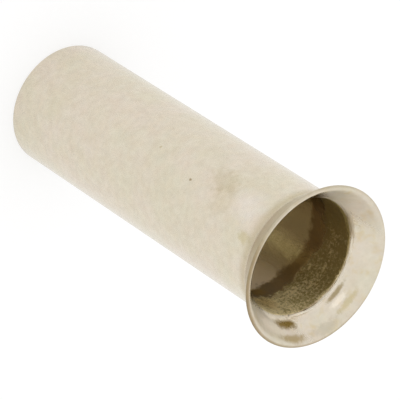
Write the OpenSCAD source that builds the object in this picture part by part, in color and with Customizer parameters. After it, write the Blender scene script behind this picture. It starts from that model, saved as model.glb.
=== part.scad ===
// Uninsulated wire ferrule: a thin tinned copper sleeve, pushed over the stripped strands of a cable
// before they go into a clamp. The barrel is a straight tube. Its mouth is flared so that the strands
// find their way in. The sleeve stands on its plain end, with the barrel's axis on Z and the mouth on top.

/* [Barrel] */
// Inner diameter of the barrel, which the bare strands fill
bore_d = 7.3; // [4.5:0.1:11]
// Thickness of the metal, the same from end to end
wall = 0.25; // [0.15:0.01:0.4]
// Overall length, from the plain end to the top of the rim
length = 25; // [12:0.5:40]
// Radius that the cut leaves on both corners of the plain end
cut_r = 0.06; // [0.02:0.01:0.07]

/* [Mouth] */
// How far the rim stands out past the barrel's outer surface
flare_out = 1.15; // [0.9:0.05:2]
// Angle between the flare's cone and the barrel's axis
cone_angle = 36; // [25:1:45]
// Outside radius of the bend where the barrel becomes the cone
bend_r = 0.7; // [0.2:0.05:1]
// Angle between the lip and the barrel's axis, after the last turn outward
lip_angle = 57; // [50:1:80]
// Outside radius of the turn between the cone and the lip
lip_r = 0.6; // [0.1:0.05:0.8]

/* [Hidden] */
tin = [0.80, 0.76, 0.68];
round_faces = 180;
bore_r = bore_d / 2;
barrel_r = bore_r + wall;
rim_r = wall / 2;

// The two bends and the half round of the rim take their share of flare_out, and the cone takes the rest
bends_out = bend_r * (1 - cos(cone_angle)) + lip_r * (cos(cone_angle) - cos(lip_angle));
rim_out = rim_r * (1 - cos(lip_angle));
cone_run = (flare_out - bends_out - rim_out) / sin(cone_angle);

// The same along the axis: what the flare takes of the length, so that the barrel gets the rest
bends_up = bend_r * sin(cone_angle) + lip_r * (sin(lip_angle) - sin(cone_angle));
rim_up = rim_r * (1 + sin(lip_angle));
barrel_run = length - cut_r - bends_up - cone_run * cos(cone_angle) - rim_up;

// The section is drawn the way the wall runs. Each stretch starts at the origin and goes along +Y,
// with the sleeve's outer surface on the Y axis and the bore on its -X side, and it carries on with
// its children from where it ends.
module straight_wall(run) {
    translate([-wall, 0])
        square([wall, run]);
    translate([0, run])
        children();
}

// The wall turns outward about a centre that lies outer_r away from its outer surface
module bent_wall(outer_r, angle) {
    reach = 2 * (outer_r + wall);
    translate([outer_r, 0]) {
        difference() {
            circle(r = outer_r + wall, $fn = round_faces);
            circle(r = outer_r, $fn = round_faces);
            translate([-reach, -reach])
                square([2 * reach, reach]);
            rotate(-angle)
                translate([-reach, 0])
                    square([2 * reach, reach]);
        }
        rotate(-angle)
            translate([-outer_r, 0])
                children();
    }
}

// The rim is a full round
module rim() {
    translate([-rim_r, 0])
        circle(r = rim_r, $fn = round_faces);
}

// The plain end is cut square, with both corners rounded
module cut_end() {
    translate([cut_r - wall, 0])
        square([wall - 2 * cut_r, cut_r]);
    for (x = [cut_r - wall, -cut_r])
        translate([x, cut_r])
            circle(r = cut_r, $fn = round_faces);
    translate([0, cut_r])
        children();
}

module wall_section() {
    translate([barrel_r, 0])
        cut_end()
            straight_wall(barrel_run)
                bent_wall(bend_r, cone_angle)
                    straight_wall(cone_run)
                        bent_wall(lip_r, lip_angle - cone_angle)
                            rim();
}

module ferrule() {
    color(tin)
        rotate_extrude($fn = round_faces)
            wall_section();
}

ferrule();
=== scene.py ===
"""Looks of the wire ferrule: a tinned copper sleeve that stands on its plain end, mouth up."""

import logging
import math
from dataclasses import dataclass, field
from enum import Enum

import bpy
import numpy as np
from mathutils import Matrix, Vector


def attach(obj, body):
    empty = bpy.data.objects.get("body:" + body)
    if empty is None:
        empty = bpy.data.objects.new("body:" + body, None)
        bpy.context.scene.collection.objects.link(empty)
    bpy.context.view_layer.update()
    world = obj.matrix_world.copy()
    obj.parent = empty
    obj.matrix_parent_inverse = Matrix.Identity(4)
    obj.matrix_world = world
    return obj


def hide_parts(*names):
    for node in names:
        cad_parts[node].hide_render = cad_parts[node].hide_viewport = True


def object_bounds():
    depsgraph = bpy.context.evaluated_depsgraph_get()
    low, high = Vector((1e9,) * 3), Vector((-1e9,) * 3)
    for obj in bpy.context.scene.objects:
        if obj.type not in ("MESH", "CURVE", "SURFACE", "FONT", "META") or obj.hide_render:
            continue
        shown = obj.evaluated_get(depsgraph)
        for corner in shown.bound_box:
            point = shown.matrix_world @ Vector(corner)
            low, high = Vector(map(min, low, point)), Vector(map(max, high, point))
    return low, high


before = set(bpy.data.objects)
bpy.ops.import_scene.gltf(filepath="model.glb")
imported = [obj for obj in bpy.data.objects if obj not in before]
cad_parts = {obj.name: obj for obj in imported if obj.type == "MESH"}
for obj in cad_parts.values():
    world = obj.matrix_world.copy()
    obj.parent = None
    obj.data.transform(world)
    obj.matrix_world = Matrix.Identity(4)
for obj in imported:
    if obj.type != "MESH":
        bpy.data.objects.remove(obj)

LOG = logging.getLogger("ferrule")
MM = 0.001
MICRON = 1e-6
FULL_TURN = 2 * math.pi
RIM_CREST = 4.0  # brings the product of a share and its complement to 1 at its highest
CAD_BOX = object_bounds()

Triple = tuple[float, float, float]
Span = tuple[float, float]


class Face(Enum):
    """The two faces of the sleeve's wall, as the value of the mesh attribute that tells them apart."""

    OUTSIDE = 0.0
    INSIDE = 1.0


class Wire:
    """A node's output socket, with the arithmetic of Python: an expression on it adds Math nodes."""

    def __init__(self, graph: "Graph", socket: bpy.types.NodeSocket) -> None:
        """Keeps the socket and the graph that new nodes go to.

        Args:
            graph: The node graph that the socket belongs to.
            socket: The output socket.
        """
        self.graph = graph
        self.socket = socket

    def __add__(self, other: "Wire | float") -> "Wire":
        """Sum."""
        return self.graph.maths("ADD", self, other)

    def __radd__(self, other: "Wire | float") -> "Wire":
        """Sum, reflected."""
        return self.graph.maths("ADD", other, self)

    def __sub__(self, other: "Wire | float") -> "Wire":
        """Difference."""
        return self.graph.maths("SUBTRACT", self, other)

    def __rsub__(self, other: "Wire | float") -> "Wire":
        """Difference, reflected."""
        return self.graph.maths("SUBTRACT", other, self)

    def __mul__(self, other: "Wire | float") -> "Wire":
        """Product."""
        return self.graph.maths("MULTIPLY", self, other)

    def __rmul__(self, other: "Wire | float") -> "Wire":
        """Product, reflected."""
        return self.graph.maths("MULTIPLY", other, self)

    def clamped(self) -> "Wire":
        """The value held between 0 and 1."""
        return self.graph.maths("ADD", self, 0.0, use_clamp=True)

    def largest(self, other: "Wire | float") -> "Wire":
        """The larger of this and another value."""
        return self.graph.maths("MAXIMUM", self, other)

    def spread(self, gain: float) -> "Wire":
        """The value with its distance from one half enlarged."""
        return (self - 0.5) * gain + 0.5

    def beside(self, name: str) -> "Wire":
        """Another output of the same node, by its name."""
        return Wire(self.graph, self.socket.node.outputs[name])


@dataclass(frozen=True)
class Noise:
    """A noise pattern: the size of its features in millimetres, its finer layers and how much they count."""

    size: float
    detail: float = 2.0
    rough: float = 0.5


class Graph:
    """A material's or a world's node tree, emptied, with one method that adds any node."""

    def __init__(self, owner: "bpy.types.Material | bpy.types.World") -> None:
        """Empties the tree.

        Args:
            owner: The material or world whose nodes are built.
        """
        owner.use_nodes = True
        self.tree = owner.node_tree
        self.tree.nodes.clear()

    def add(self, kind: str, settings: "dict | None" = None, sockets: "dict | None" = None,
            out: "int | str" = 0) -> Wire:
        """Adds a node.

        Args:
            kind: The node's type, such as ShaderNodeMath.
            settings: Attributes to set first.
            sockets: Input sockets by name or number, each with a value or a wire.
            out: The output socket that the returned wire carries.

        Returns:
            The node's output as a wire, which is empty for a node without outputs.
        """
        node = self.tree.nodes.new(kind)
        for name, value in (settings or {}).items():
            setattr(node, name, value)
        for name, value in (sockets or {}).items():
            if isinstance(value, Wire):
                self.tree.links.new(value.socket, node.inputs[name])
            else:
                node.inputs[name].default_value = value
        return Wire(self, node.outputs[out] if len(node.outputs) else None)

    def maths(self, operation: str, first: "Wire | float", second: "Wire | float",
              use_clamp: bool = False) -> Wire:
        """Adds a Math node.

        Args:
            operation: The node's operation.
            first: Left value.
            second: Right value.
            use_clamp: Whether the result is held between 0 and 1.

        Returns:
            The result.
        """
        settings = {"operation": operation, "use_clamp": use_clamp}
        return self.add("ShaderNodeMath", settings, {0: first, 1: second})

    def vector(self, operation: str, first: "Wire | list", second: "Wire | list | None" = None,
               out: str = "Vector") -> Wire:
        """Adds a Vector Math node.

        Args:
            operation: The node's operation.
            first: Left vector.
            second: Right vector, for an operation that takes two.
            out: The output that is wanted.

        Returns:
            The result.
        """
        sockets = {0: first} if second is None else {0: first, 1: second}
        return self.add("ShaderNodeVectorMath", {"operation": operation}, sockets, out=out)

    def ramp(self, value: Wire, low: float, high: float) -> Wire:
        """A value turned into a smooth step.

        Args:
            value: The value.
            low: Where the step starts, and it may be above high for a falling step.
            high: Where it ends.

        Returns:
            The step, from 0 at low to 1 at high.
        """
        flip = low > high
        sockets = {"Value": value, "From Min": min(low, high), "From Max": max(low, high),
                   "To Min": float(flip), "To Max": float(not flip)}
        return self.add("ShaderNodeMapRange", {"interpolation_type": "SMOOTHSTEP"}, sockets)

    def step(self, value: Wire, span: Span) -> Wire:
        """A smooth step of a length in metres, over a span in millimetres."""
        return self.ramp(value, span[0] * MM, span[1] * MM)

    def noise(self, place: Wire, pattern: Noise) -> Wire:
        """A noise texture with features of a real size.

        Args:
            place: Coordinates, in metres.
            pattern: The pattern.

        Returns:
            The noise, about 0.5 on average.
        """
        sockets = {"Vector": place, "Scale": 1 / (pattern.size * MM), "Detail": pattern.detail,
                   "Roughness": pattern.rough}
        return self.add("ShaderNodeTexNoise", {}, sockets)

    def shown(self) -> Wire:
        """One for rays that show the background, seen, mirrored or through glass, and else 0."""
        seen = self.add("ShaderNodeLightPath", out="Is Camera Ray")
        return seen.largest(seen.beside("Is Glossy Ray")).largest(seen.beside("Is Transmission Ray"))

    def blend(self, share: "Wire | float", first: "Wire | Triple", second: "Wire | Triple",
              how: str = "MIX") -> Wire:
        """Mixes two colours.

        Args:
            share: Share of the second colour.
            first: First colour.
            second: Second colour.
            how: The way they mix, such as MIX or MULTIPLY.

        Returns:
            The colour.
        """
        def colour(value: "Wire | Triple") -> "Wire | tuple":
            """A colour with its alpha."""
            return value if isinstance(value, Wire) else (*value, 1.0)

        sockets = {0: share, 6: colour(first), 7: colour(second)}
        return self.add("ShaderNodeMix", {"data_type": "RGBA", "blend_type": how}, sockets, out=2)


@dataclass(frozen=True)
class Mark:
    """A stained patch, a scuff, a pit, a painted highlight or a painted glint on one face of the wall, in
    millimetres from the foot of the axis.

    Its share falls from 1 to 0 around the ellipsoid that half gives, on an outline that noise makes ragged.
    A chalky mark mirrors less, as metal with wear or dust on it does.
    """

    at: Triple
    half: Triple
    tint: Triple
    face: Face = Face.OUTSIDE
    chalk: float = 0.0
    ragged: float = 2.5
    edge: Span = (1.5, 0.5)

    def mask(self, graph: Graph, place: Wire, inside: Wire, noise: Wire) -> Wire:
        """Share of the mark at each point.

        Args:
            graph: The material's graph.
            place: Coordinates, in metres.
            inside: 1 on the inner face and 0 on the outer one.
            noise: Noise that makes the outline uneven.

        Returns:
            The share, from 0 to 1.
        """
        offset = graph.vector("SUBTRACT", place, [c * MM for c in self.at])
        scaled = graph.vector("DIVIDE", offset, [c * MM for c in self.half])
        away = graph.vector("LENGTH", scaled, out="Value")
        share = graph.ramp(away + (noise - 0.5) * self.ragged, *self.edge)
        return share * (inside if self.face is Face.INSIDE else 1 - inside)


STAINS_AND_PAINTED_GLINTS = (
    Mark((-1.25, -3.69, 18.7), (0.8, 0.9, 1.0), (0.90, 0.885, 0.83)),
    Mark((-0.45, -3.87, 19.4), (0.9, 0.9, 0.8), (0.96, 0.95, 0.91)),
    # painted highlight: a brighter patch on the barrel below the mouth
    Mark((-0.85, -3.79, 21.4), (1.0, 0.9, 1.0), (1.05, 1.06, 1.12)),
    Mark((0.85, -3.80, 22.4), (0.30, 0.9, 0.45), (0.88, 0.86, 0.74)),
    Mark((-0.28, -3.89, 16.49), (0.07, 0.9, 0.09), (0.58, 0.51, 0.42)),
    Mark((-0.95, -3.78, 12.9), (0.10, 0.9, 0.08), (0.80, 0.76, 0.66)),
    Mark((-1.14, -4.89, 24.95), (1.00, 0.45, 0.30), (0.88, 0.87, 0.84)),
    Mark((3.70, 1.50, 23.93), (0.44, 0.76, 0.26), (0.30, 0.22, 0.05), Face.INSIDE),
    Mark((4.15, 1.90, 24.70), (0.60, 1.05, 0.20), (0.66, 0.58, 0.40), Face.INSIDE),
    Mark((0.60, 3.80, 23.78), (0.75, 0.35, 0.11), (0.55, 0.50, 0.36), Face.INSIDE),
    # painted highlight: a lighter streak on the mouth's inner face
    Mark((0.90, 3.98, 24.12), (0.60, 0.40, 0.14), (1.22, 1.24, 1.26), Face.INSIDE),
    Mark((0.70, 4.33, 24.50), (0.80, 0.50, 0.15), (0.86, 0.82, 0.66), Face.INSIDE),
    Mark((2.70, 3.70, 24.70), (1.10, 1.10, 0.25), (0.85, 0.84, 0.82), Face.INSIDE),
    # this and the next three are painted glints and highlights: pale, chalky patches at the throat and on the
    # mouth's inner face
    Mark((3.66, 1.00, 23.56), (0.50, 1.10, 0.22), (1.30, 1.30, 1.30), Face.INSIDE, chalk=1.0),
    Mark((4.15, 0.70, 24.20), (0.60, 1.50, 0.35), (1.12, 1.10, 1.12), Face.INSIDE, chalk=0.3),
    Mark((2.98, 2.25, 23.50), (0.60, 0.75, 0.16), (1.14, 1.12, 1.08), Face.INSIDE, chalk=0.7),
    Mark((-2.05, 3.08, 23.41), (0.60, 0.45, 0.15), (1.10, 1.08, 1.04), Face.INSIDE, chalk=0.5),
    Mark((3.33, 1.48, 21.80), (0.45, 1.00, 0.80), (0.86, 0.78, 0.66), Face.INSIDE),
    Mark((3.08, 1.95, 20.40), (0.40, 0.55, 0.40), (1.25, 1.12, 0.70), Face.INSIDE),
)


@dataclass(frozen=True)
class Surface:
    """Where a point lies on the sleeve, with lengths in metres, and the noises there."""

    place: Wire
    across: Wire
    along: Wire
    inside: Wire
    mottle: Wire
    grain: Wire
    specks: Wire
    patches: Wire
    blotches: Wire
    clouds: Wire


@dataclass(frozen=True)
class Zones:
    """Each zone's share of the wall at a point, from 0 to 1."""

    flared: Wire
    mouth: Wire
    bore: Wire
    rim: Wire
    side: Wire
    worked: Wire
    ringed: Wire
    throat_highlight: Wire
    soft: Wire


@dataclass(frozen=True)
class TinPlate:
    """Satin tin plating over copper, burnished by the punch inside the mouth and stained in the bore.

    Below the throat the punch has left a grainy zone, and below that lies a darker ring. Lengths are in
    millimetres: z is the height, and x the distance across, towards the side of the bore that is painted
    lighter, as if lit. A span runs from where a zone or a tint sets in to where it is whole. A film is the
    share that doesn't mirror.
    """

    name: str = "tin_plate"
    # the marks, with painted highlights and glints among them
    stains_and_glints: tuple[Mark, ...] = STAINS_AND_PAINTED_GLINTS

    colour: Triple = (0.755, 0.68, 0.57)
    dark_share: float = 0.92
    green_tint: Triple = (0.965, 0.995, 0.945)
    warm_tint: Triple = (0.985, 0.955, 0.93)
    tarnish: Triple = (0.88, 0.81, 0.64)
    # painted shade on the outer face below the bend into the mouth, where the barrel's highlight ends
    bend_shade_tint: Triple = (0.80, 0.77, 0.68)
    # painted shade on the rim's side towards +x
    rim_shade_tint: Triple = (0.66, 0.58, 0.46)
    # painted highlight: the pale, chalky band along the throat's bend
    throat_highlight_colour: Triple = (0.98, 0.91, 0.78)
    bore_colour: Triple = (0.72, 0.66, 0.49)
    # painted light: the bore's lighter, greyer colour on its side towards +x
    bore_lit_side: Triple = (1.0, 0.85, 0.64)
    ring_colour: Triple = (0.36, 0.27, 0.15)
    dust_dark: Triple = (0.36, 0.28, 0.11)
    dust_light: Triple = (0.86, 0.73, 0.42)

    mottle: Noise = Noise(0.40, 3.0)
    grain: Noise = Noise(0.11, 2.0, 0.6)
    specks: Noise = Noise(0.16, 5.0, 0.8)
    patches: Noise = Noise(0.9)
    blotches: Noise = Noise(0.62, 3.0, 0.6)
    clouds: Noise = Noise(2.2)
    streaks: Noise = Noise(0.5, 3.0, 0.6)
    streak_squeeze: Triple = (0.35, 0.35, 2.5)
    mottle_gain: float = 2.6
    cloud_gain: float = 3.0
    blotch_gain: float = 3.0
    tarnish_mix: Span = (0.6, 0.4)
    tarnish_span: Span = (0.50, 0.78)
    mark_mix: Span = (0.45, 0.55)

    throat_z: float = 23.106
    flare_above: Span = (0.2, 0.33)
    # heights over which the painted shade below the bend sets in
    bend_shade_z: Span = (22.5, 23.15)
    side_x: Span = (3.3, 4.0)
    # where the bore's painted lighter side sets in, across
    lit_side_x: Span = (0.0, 2.6)
    # where the rim's painted shade sets in, across
    rim_shade_x: Span = (-1.2, 2.0)
    ring_z: float = 19.88
    ring_edge: float = 0.25
    grain_z: float = 21.03
    grain_edge: float = 0.3
    ring_tilt: float = 0.076
    edge_mottle: float = 1.0
    edge_clouds: float = 1.6
    dust_lean: float = 0.03
    dust_patches: float = 0.35
    dust_span: Span = (0.46, 0.66)
    # band of the painted throat highlight: wave of its edges, its foot and top heights, where it starts and
    # stops across
    throat_highlight_wave: float = 0.12
    throat_highlight_foot: Span = (23.43, 23.47)
    throat_highlight_top: Span = (23.60, 23.55)
    throat_highlight_from: Span = (-3.0, -2.2)
    throat_highlight_to: Span = (3.4, 2.8)
    soft_foot: Span = (23.0, 23.15)
    soft_top: Span = (23.75, 23.6)
    soft_x: Span = (-2.3, -3.0)

    film_x: Span = (0.3, 3.0)
    bore_film: float = 0.8
    ring_film_loss: float = 0.4
    worked_film: float = 0.08
    side_film: float = 0.6
    # chalky film of the painted throat highlight
    throat_highlight_film: float = 0.55

    barrel_rough: float = 0.20
    mouth_rough: float = 0.11
    bore_rough: float = 0.15
    worked_rough: float = 0.42
    throat_highlight_rough: float = 0.45
    side_rough: float = 0.34
    rim_extra: float = 0.3
    soft_extra: float = 0.25
    turned_extra: float = 0.12
    satin: float = 0.08
    satin_span: Span = (0.48, 0.62)
    grain_um: float = 8.5
    wave_um: float = 17.0
    streak_um: float = 7.0
    coarse_um: float = 40.0

    def build(self) -> bpy.types.Material:
        """Makes the material.

        Returns:
            The material.
        """
        material = bpy.data.materials.new(self.name)
        graph = Graph(material)
        at = self._surface(graph)
        zones = self._zones(graph, at)
        colour = self._in_bore(graph, at, zones, self._tin(graph, at, zones))
        # paints the highlight along the throat's bend
        colour = graph.blend(zones.throat_highlight, colour, self.throat_highlight_colour)
        colour, film = self._marked(graph, at, colour, self._film(graph, at, zones))
        shader = graph.add("ShaderNodeBsdfPrincipled", {}, {
            "Base Color": self._painted_shade(graph, at, zones, colour),
            "Metallic": 1 - film.clamped(),
            "Roughness": self._rough(graph, at, zones),
            "Normal": self._bump(graph, at, zones),
        })
        graph.add("ShaderNodeOutputMaterial", {}, {"Surface": shader})
        return material

    def _surface(self, graph: Graph) -> Surface:
        """Coordinates, face and noises.

        Args:
            graph: The material's graph.

        Returns:
            The surface's values.
        """
        place = graph.add("ShaderNodeTexCoord", out="Object")
        across = graph.add("ShaderNodeSeparateXYZ", {}, {0: place}, out="X")
        inside = graph.add("ShaderNodeAttribute", {"attribute_name": "face"}, out="Fac")
        patterns = (self.mottle, self.grain, self.specks, self.patches, self.blotches, self.clouds)
        noises = [graph.noise(place, pattern) for pattern in patterns]
        return Surface(place, across, across.beside("Z"), inside, *noises)

    def _zones(self, graph: Graph, at: Surface) -> Zones:
        """The wall's zones.

        Args:
            graph: The material's graph.
            at: The surface's values.

        Returns:
            The zones' shares.
        """
        start, end = self.flare_above
        flared = graph.step(at.along, (self.throat_z + start, self.throat_z + end))
        mouth = at.inside * flared
        bore = at.inside * (1 - flared)
        rim = at.inside * (1 - at.inside) * RIM_CREST
        side = mouth * graph.step(at.across.largest(-1.0 * at.across), self.side_x)
        uneven = (at.mottle - 0.5) * self.edge_mottle + (at.clouds - 0.5) * self.edge_clouds
        depth = at.along + at.across * self.ring_tilt + uneven * MM
        worked = bore * graph.step(depth, (self.grain_z - self.grain_edge, self.grain_z + self.grain_edge))
        ringed = bore * graph.step(depth, (self.ring_z - self.ring_edge, self.ring_z + self.ring_edge))
        line = at.along + (at.patches - 0.5) * self.throat_highlight_wave * MM
        # painted highlight: a band just above the throat, on the inner face
        throat_highlight = at.inside * graph.step(line, self.throat_highlight_foot) * graph.step(line, self.throat_highlight_top)
        throat_highlight = throat_highlight * graph.step(at.across, self.throat_highlight_from) * graph.step(at.across, self.throat_highlight_to)
        soft = at.inside * graph.step(line, self.soft_top) * graph.step(line, self.soft_foot)
        soft = soft * graph.step(at.across, self.soft_x)
        return Zones(flared, mouth, bore, rim, side, worked, ringed, throat_highlight, soft)

    def _tin(self, graph: Graph, at: Surface, zones: Zones) -> Wire:
        """Colour of the bare plating, mottled all over and tarnished in patches inside the mouth.

        Args:
            graph: The material's graph.
            at: The surface's values.
            zones: The zones' shares.

        Returns:
            The colour.
        """
        dark = tuple(self.dark_share * c for c in self.colour)
        tin = graph.blend(at.mottle.spread(self.mottle_gain), dark, self.colour)
        tin = graph.blend(at.clouds.spread(self.cloud_gain), tin, self.green_tint, "MULTIPLY")
        tin = graph.blend(at.blotches.spread(self.blotch_gain), tin, self.warm_tint, "MULTIPLY")
        patchy, fine = self.tarnish_mix
        tarnished = graph.ramp(at.patches * patchy + at.mottle * fine, *self.tarnish_span)
        return graph.blend(zones.mouth * tarnished, tin, self.tarnish, "MULTIPLY")

    def _in_bore(self, graph: Graph, at: Surface, zones: Zones, tin: Wire) -> Wire:
        """The plating's colour with the bore's three zones laid over it.

        Args:
            graph: The material's graph.
            at: The surface's values.
            zones: The zones' shares.
            tin: The plating's colour.

        Returns:
            The colour.
        """
        # the bore's stained colour, painted lighter towards +x as if lit there
        bore_stain_and_light = graph.blend(graph.step(at.across, self.lit_side_x), self.bore_colour, self.bore_lit_side)
        lean = at.across * (self.dust_lean / MM) + (at.patches - 0.5) * self.dust_patches
        dust = graph.blend(graph.ramp(at.specks + lean, *self.dust_span), self.dust_dark, self.dust_light)
        colour = graph.blend(zones.bore, tin, bore_stain_and_light)
        colour = graph.blend(zones.ringed, colour, self.ring_colour)
        return graph.blend(zones.worked, colour, dust)

    def _film(self, graph: Graph, at: Surface, zones: Zones) -> Wire:
        """Share of the surface that doesn't mirror, before the marks.

        Args:
            graph: The material's graph.
            at: The surface's values.
            zones: The zones' shares.

        Returns:
            The share, which may be above 1.
        """
        film = zones.bore * graph.step(at.across, self.film_x) * self.bore_film
        film = film * (1 - (zones.ringed - zones.worked) * self.ring_film_loss)
        film = film + zones.worked * self.worked_film + zones.side * self.side_film
        return film + zones.throat_highlight * self.throat_highlight_film

    def _marked(self, graph: Graph, at: Surface, colour: Wire, film: Wire) -> tuple[Wire, Wire]:
        """Lays the marks, painted highlights and glints among them, over the colour and the film.

        Args:
            graph: The material's graph.
            at: The surface's values.
            colour: The colour under them.
            film: The film under them.

        Returns:
            The colour and the film with the marks.
        """
        patchy, fine = self.mark_mix
        noise = at.mottle * patchy + at.specks * fine
        for mark in self.stains_and_glints:
            share = mark.mask(graph, at.place, at.inside, noise)
            colour = graph.blend(share, colour, mark.tint, "MULTIPLY")
            if mark.chalk:
                film = film + share * mark.chalk
        return colour, film

    def _painted_shade(self, graph: Graph, at: Surface, zones: Zones, colour: Wire) -> Wire:
        """Paints shade on the outer face below the bend into the mouth, and on the rim's side towards +x.

        Args:
            graph: The material's graph.
            at: The surface's values.
            zones: The zones' shares.
            colour: The colour so far.

        Returns:
            The colour.
        """
        # painted shade: the outer face darkens towards the bend into the mouth
        bend_shade = (1 - at.inside) * graph.step(at.along, self.bend_shade_z)
        colour = graph.blend(bend_shade, colour, self.bend_shade_tint, "MULTIPLY")
        # painted shade: the rim is darker on its side towards +x
        rim_shade = zones.rim * graph.step(at.across, self.rim_shade_x)
        return graph.blend(rim_shade, colour, self.rim_shade_tint, "MULTIPLY")

    def _rough(self, graph: Graph, at: Surface, zones: Zones) -> Wire:
        """Roughness by zone, with a satin grain outside the bore.

        Args:
            graph: The material's graph.
            at: The surface's values.
            zones: The zones' shares.

        Returns:
            The roughness.
        """
        rough = self.barrel_rough + zones.mouth * (self.mouth_rough - self.barrel_rough)
        rough = rough + zones.bore * (self.bore_rough - self.barrel_rough)
        rough = rough + zones.worked * (self.worked_rough - self.bore_rough)
        rough = rough + zones.side * (self.side_rough - self.mouth_rough) + zones.rim * self.rim_extra
        rough = rough + zones.throat_highlight * (self.throat_highlight_rough - self.mouth_rough) + zones.soft * self.soft_extra
        rough = rough + zones.flared * (1 - at.inside) * self.turned_extra
        return rough + graph.ramp(at.grain, *self.satin_span) * (1 - zones.bore) * self.satin

    def _bump(self, graph: Graph, at: Surface, zones: Zones) -> Wire:
        """Fine relief: grain and waves all over, coarse grain in the worked zone, streaks round the mouth.

        Args:
            graph: The material's graph.
            at: The surface's values.
            zones: The zones' shares.

        Returns:
            The normal.
        """
        height = at.grain * (self.grain_um + zones.worked * self.coarse_um) + at.mottle * self.wave_um
        streaks = graph.noise(graph.vector("MULTIPLY", at.place, self.streak_squeeze), self.streaks)
        height = height + streaks * zones.mouth * self.streak_um
        return graph.add("ShaderNodeBump", {}, {"Distance": MICRON, "Height": height}, out="Normal")


class Walk:
    """A walk along the outer face of the wall, as pairs of a point and how far the wall leans outward.

    A point is a radius and a height, in millimetres.
    """

    def __init__(self, start: np.ndarray) -> None:
        """Starts on an upright wall.

        Args:
            start: The first point.
        """
        self.line = [(start, 0.0)]

    def straight(self, run: float, rows: int) -> None:
        """Carries the line straight on.

        Args:
            run: How far it goes.
            rows: In how many steps.
        """
        start, turn = self.line[-1]
        for i in range(1, rows + 1):
            self.line.append((start + ahead(turn) * run * i / rows, turn))

    def bend(self, radius: float, to: float, rows: int) -> None:
        """Turns the line outward about a centre outside it.

        Args:
            radius: Radius of the turn.
            to: How far the wall leans outward at its end.
            rows: In how many steps.
        """
        point, start = self.line[-1]
        centre = point + radius * outward(start)
        for i in range(1, rows + 1):
            turn = start + (to - start) * i / rows
            self.line.append((centre - radius * outward(turn), turn))


def ahead(turn: float) -> np.ndarray:
    """The wall's direction when it leans outward by an angle."""
    return np.array([math.sin(turn), math.cos(turn)])


def outward(turn: float) -> np.ndarray:
    """The outer face's normal when the wall leans outward by an angle."""
    return np.array([math.cos(turn), -math.sin(turn)])


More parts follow.
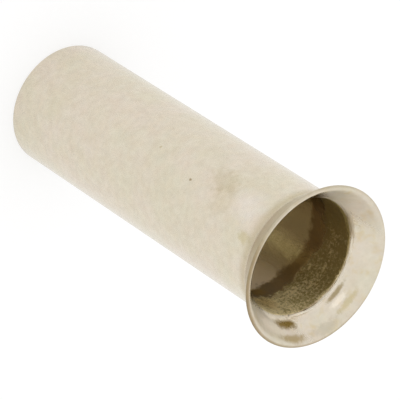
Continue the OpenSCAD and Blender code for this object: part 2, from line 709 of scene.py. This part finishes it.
@dataclass
class Sleeve:
    """The ferrule's one piece: a straight barrel, its flared mouth, and a full-round rim.

    Lengths are in millimetres and angles in degrees. The foot's faces tell the cut end's rounded corners
    apart for the finish, from the bore's side to the outer one.
    """

    bore_r: float = 3.65
    wall: float = 0.25
    length: float = CAD_BOX[1].z / MM
    rim_r: float = min(CAD_BOX[1].x, CAD_BOX[1].y) / MM
    cut_r: float = 0.06
    cone_angle: float = 36.0
    bend_r: float = 0.7
    lip_angle: float = 57.0
    lip_r: float = 0.6
    around: int = 360
    barrel_rows: int = 46
    bend_rows: int = 14
    cone_rows: int = 12
    lip_rows: int = 10
    rim_steps: int = 18
    corner_steps: int = 4
    foot_faces: tuple[float, ...] = (0.75, 0.5, 0.4, 0.3, 0.2, 0.2, 0.2, 0.2)
    finish: TinPlate = field(default_factory=TinPlate)

    @property
    def barrel_r(self) -> float:
        """Outer radius of the barrel."""
        return self.bore_r + self.wall

    @property
    def flare_out(self) -> float:
        """How far the rim stands out beyond the barrel."""
        return self.rim_r - self.barrel_r

    def section(self) -> tuple[np.ndarray, np.ndarray]:
        """Walks along the wall from the plain end to the rim, and back inside.

        Returns:
            The closed outline as rows of radius and height, in millimetres, and each point's face, from
            0 on the outside to 1 on the inside.
        """
        cone, lip = math.radians(self.cone_angle), math.radians(self.lip_angle)
        half = self.wall / 2
        bends_out = self.bend_r * (1 - math.cos(cone)) + self.lip_r * (math.cos(cone) - math.cos(lip))
        bends_up = self.bend_r * math.sin(cone) + self.lip_r * (math.sin(lip) - math.sin(cone))
        cone_run = (self.flare_out - bends_out - half * (1 - math.cos(lip))) / math.sin(cone)
        top = bends_up + cone_run * math.cos(cone) + half * (1 + math.sin(lip))

        walk = Walk(np.array([self.barrel_r, self.cut_r]))
        walk.straight(self.length - self.cut_r - top, self.barrel_rows)
        walk.bend(self.bend_r, cone, self.bend_rows)
        walk.straight(cone_run, self.cone_rows)
        walk.bend(self.lip_r, lip, self.lip_rows)

        outer = [point for point, _ in walk.line]
        inner = [point - self.wall * outward(turn) for point, turn in reversed(walk.line)]
        points = outer + self._rim(*walk.line[-1]) + inner + self._foot()
        rim_faces = [i / self.rim_steps for i in range(1, self.rim_steps)]
        faces = ([Face.OUTSIDE.value] * len(outer) + rim_faces
                 + [Face.INSIDE.value] * len(inner) + list(self.foot_faces))
        return np.array(points), np.array(faces)

    def _rim(self, point: np.ndarray, turn: float) -> list[np.ndarray]:
        """The full-round rim, from the outer face over to the inner one.

        Args:
            point: Where the outer face ends.
            turn: How far the wall leans outward there.

        Returns:
            The points between the two faces.
        """
        half = self.wall / 2
        middle = point - half * outward(turn)
        arc = [math.pi * i / self.rim_steps for i in range(1, self.rim_steps)]
        return [middle + half * (math.cos(b) * outward(turn) + math.sin(b) * ahead(turn)) for b in arc]

    def _foot(self) -> list[np.ndarray]:
        """The cut end's two rounded corners, from the bore to the outer face.

        Returns:
            The points between the two faces.
        """
        cut = self.cut_r
        near, far = self.bore_r + cut, self.barrel_r - cut
        arc = [math.pi / 2 * i / self.corner_steps for i in range(self.corner_steps + 1)]
        inner = [np.array([near - cut * math.cos(b), cut - cut * math.sin(b)]) for b in arc[1:]]
        outer = [np.array([far + cut * math.sin(b), cut - cut * math.cos(b)]) for b in arc[:-1]]
        return inner + outer

    def build(self) -> bpy.types.Object:
        """Spins the section into the sleeve and gives it its finish.

        Returns:
            The piece.
        """
        points, faces = self.section()
        rows, columns = len(points), self.around
        angles = np.arange(columns) * FULL_TURN / columns
        ring = np.stack([np.cos(angles), np.sin(angles)], axis=-1)
        grid = np.zeros((rows, columns, 3))
        grid[:, :, :2] = points[:, None, :1] * ring[None]
        grid[:, :, 2] = points[:, None, 1]
        mesh = bpy.data.meshes.new("sleeve")
        mesh.from_pydata((grid.reshape(-1, 3) * MM).tolist(), [], self._quads(rows, columns).tolist())
        mesh.polygons.foreach_set("use_smooth", np.ones(len(mesh.polygons), bool))
        face = mesh.attributes.new("face", "FLOAT", "POINT")
        face.data.foreach_set("value", np.repeat(faces, columns).astype(np.float32))
        mesh.normals_split_custom_set_from_vertices(self._normals(grid).reshape(-1, 3).tolist())
        mesh.validate()
        piece = bpy.data.objects.new("sleeve", mesh)
        bpy.context.scene.collection.objects.link(piece)
        mesh.materials.append(self.finish.build())
        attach(piece, "root")
        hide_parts("ferrule")
        LOG.info("%s: %d rows by %d, %d faces", piece.name, rows, columns, len(mesh.polygons))
        return piece

    @staticmethod
    def _quads(rows: int, columns: int) -> np.ndarray:
        """Faces of a grid that closes on itself both ways.

        Args:
            rows: Number of points along the section.
            columns: Number of points around the axis.

        Returns:
            Each face's four points, in order.
        """
        i, j = np.meshgrid(np.arange(rows), np.arange(columns), indexing="ij")
        below, right = (i + 1) % rows, (j + 1) % columns
        corners = (i * columns + j, i * columns + right, below * columns + right, below * columns + j)
        return np.stack(corners, axis=-1).reshape(-1, 4)

    @staticmethod
    def _normals(grid: np.ndarray) -> np.ndarray:
        """Normals of the closed grid from its neighbours.

        Args:
            grid: Points by row along the section and column around the axis.

        Returns:
            The unit normals, pointing out of the metal.
        """
        along = np.roll(grid, -1, 0) - grid
        back = grid - np.roll(grid, 1, 0)
        along = along / np.linalg.norm(along, axis=-1, keepdims=True)
        back = back / np.linalg.norm(back, axis=-1, keepdims=True)
        around = np.roll(grid, -1, 1) - np.roll(grid, 1, 1)
        normal = np.cross(around, along + back)
        return normal / np.linalg.norm(normal, axis=-1, keepdims=True)


@dataclass(frozen=True)
class Surround:
    """The plain white room, the same to every ray: it lights the metal and is what the metal mirrors."""

    colour: Triple = (1.0, 1.0, 1.0)

    def build(self) -> bpy.types.World:
        """Makes the world.

        Returns:
            The world.
        """
        world = bpy.data.worlds.new("studio")
        graph = Graph(world)
        glow = graph.add("ShaderNodeBackground", {}, {"Color": (*self.colour, 1.0), "Strength": 1.0})
        graph.add("ShaderNodeOutputWorld", {}, {"Surface": glow})
        return world


@dataclass
class Studio:
    """Camera, floor and world.

    The camera stands off from the rim's centre by aim: left of it, above it and back, in barrel radii. Its
    clipping distances and the floor's half side are in metres.
    """

    lens: float = 306.0
    roll_deg: float = 123.09
    elevation_deg: float = 44.04
    aim: Triple = (1.715, 0.991, 49.55)
    barrel_r: float = 3.9
    clip: Span = (0.001, 10.0)
    floor_half: float = 2.0
    floor_colour: Triple = (0.42, 0.42, 0.42)
    floor_glow: Triple = (0.61, 0.61, 0.61)
    no_glow: Triple = (0.0, 0.0, 0.0)
    surround: Surround = field(default_factory=Surround)

    def axes(self) -> tuple[Vector, Vector, Vector]:
        """Directions of the camera.

        Returns:
            Its right, up and forward.
        """
        tilt, roll = math.radians(self.elevation_deg), math.radians(self.roll_deg)
        level = Vector((1, 0, 0))
        rise = Vector((0, math.sin(tilt), math.cos(tilt)))
        forward = Vector((0, math.cos(tilt), -math.sin(tilt)))
        right = math.cos(roll) * level + math.sin(roll) * rise
        up = -math.sin(roll) * level + math.cos(roll) * rise
        return right, up, forward

    def place_camera(self, rim: Vector) -> None:
        """Sets up the camera.

        Args:
            rim: Centre of the rim.
        """
        right, up, forward = self.axes()
        left, above, back = (self.barrel_r * MM * a for a in self.aim)
        data = bpy.data.cameras.new("camera")
        data.lens = self.lens
        data.clip_start, data.clip_end = self.clip
        camera = bpy.data.objects.new("camera", data)
        place = Matrix.Translation(rim - right * left + up * above - forward * back)
        turn = Matrix((right, up, -forward)).transposed()
        camera.matrix_world = place @ turn.to_4x4()
        bpy.context.scene.collection.objects.link(camera)
        bpy.context.scene.camera = camera

    def lay_floor(self) -> None:
        """Lays the white floor."""
        half = self.floor_half
        corners = [(-half, -half, 0.0), (half, -half, 0.0), (half, half, 0.0), (-half, half, 0.0)]
        self._sheet("floor", corners, self._floor_finish())

    @staticmethod
    def _sheet(name: str, corners: list[Triple], material: bpy.types.Material) -> bpy.types.Object:
        """Makes a flat stage piece.

        Args:
            name: Its name.
            corners: Its outline, in metres.
            material: Its material.

        Returns:
            The piece.
        """
        mesh = bpy.data.meshes.new(name)
        mesh.from_pydata(corners, [], [list(range(len(corners)))])
        mesh.materials.append(material)
        sheet = bpy.data.objects.new(name, mesh)
        bpy.context.scene.collection.objects.link(sheet)
        return sheet

    def _floor_finish(self) -> bpy.types.Material:
        """Paper that a glow turns white where it is seen or mirrored, and that keeps a soft shadow.

        Returns:
            The material.
        """
        material = bpy.data.materials.new("floor")
        graph = Graph(material)
        shader = graph.add("ShaderNodeBsdfPrincipled", {}, {
            "Base Color": (*self.floor_colour, 1.0),
            "Roughness": 1.0,
            "Emission Color": graph.blend(graph.shown(), self.no_glow, self.floor_glow),
            "Emission Strength": 1.0,
        })
        graph.add("ShaderNodeOutputMaterial", {}, {"Surface": shader})
        return material

    def build(self) -> None:
        """Lights the sleeve on a white floor."""
        self.place_camera(Vector((0, 0, CAD_BOX[1].z)))
        self.lay_floor()
        scene = bpy.context.scene
        scene.view_settings.view_transform = "Standard"
        scene.world = self.surround.build()


def main() -> None:
    """Builds the sleeve and the studio."""
    logging.basicConfig(level=logging.INFO, format="%(name)s: %(message)s")
    Sleeve().build()
    Studio().build()


if __name__ == "__main__":
    main()
